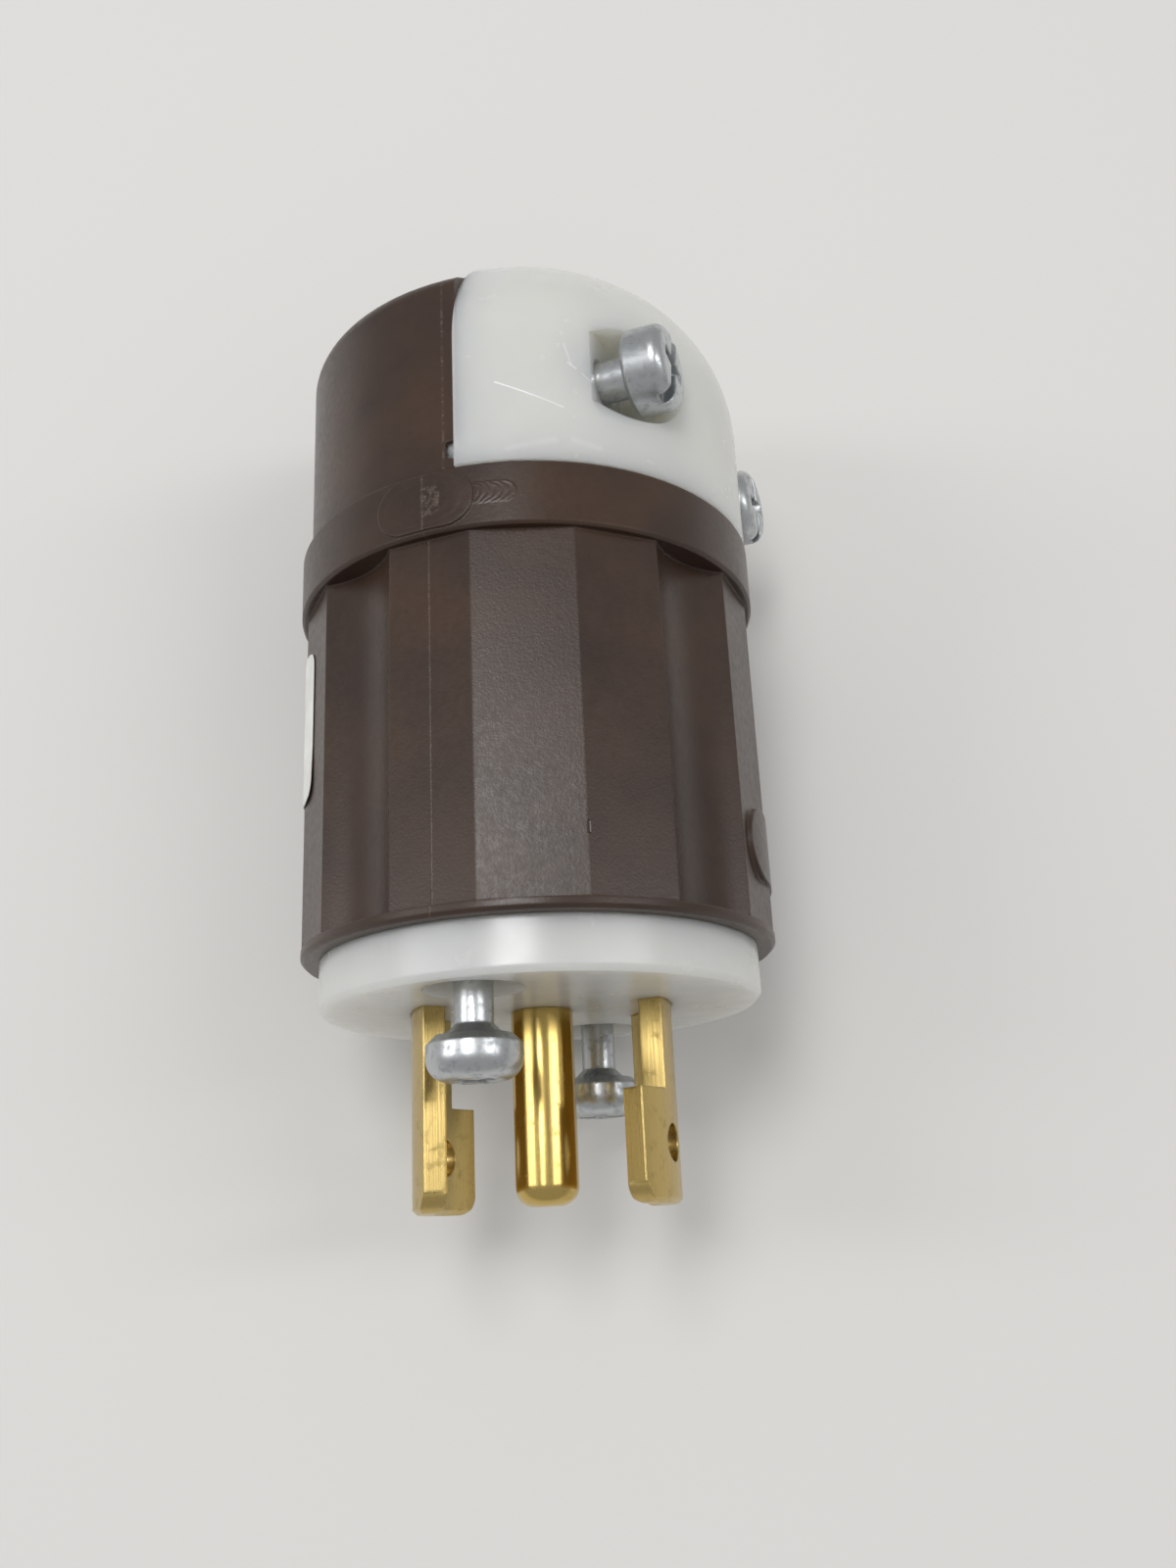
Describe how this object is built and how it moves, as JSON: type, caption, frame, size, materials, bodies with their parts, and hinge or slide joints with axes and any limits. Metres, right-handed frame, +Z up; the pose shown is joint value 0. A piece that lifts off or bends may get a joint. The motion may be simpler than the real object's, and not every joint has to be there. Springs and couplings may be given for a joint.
{
  "type": "locking power plug",
  "caption": "Cord-end locking power plug with hooked arc blades, a round earth pin, a fluted grip and a separate two-screw cord clamp, lying on its side.",
  "frame": {"origin": "centre of the mating face, on the plug's axis, where the earth pin leaves the face", "axes": "+Y along the plug's axis from the mating face to the cord end, +Z up off the surface that the plug lies on, +X to the right"},
  "size_m": [0.0368, 0.0688, 0.0351],
  "materials": {
    "brown_nylon": "satin",
    "white_nylon": "satin",
    "tan_board": "matte",
    "bright_brass": "polished",
    "plated_steel": "bright",
    "green_screw": "satin"
  },
  "bodies": {
    "root": {"housing": "brown_nylon", "cord_clamp": "white_nylon", "contact_carrier": "white_nylon", "terminal_cover": "tan_board", "line_blade": "bright_brass", "neutral_blade": "bright_brass", "earth_pin": "bright_brass", "earth_strap": "bright_brass", "line_terminal_screw": "bright_brass", "neutral_terminal_screw": "plated_steel", "earth_terminal_screw": "green_screw", "line_wire_clamp": "plated_steel", "neutral_wire_clamp": "plated_steel", "earth_wire_clamp": "plated_steel", "near_front_screw": "plated_steel", "far_front_screw": "plated_steel", "upper_clamp_screw": "plated_steel", "lower_clamp_screw": "plated_steel", "upper_clamp_nut": "plated_steel", "lower_clamp_nut": "plated_steel"}
  },
  "joints": []
}
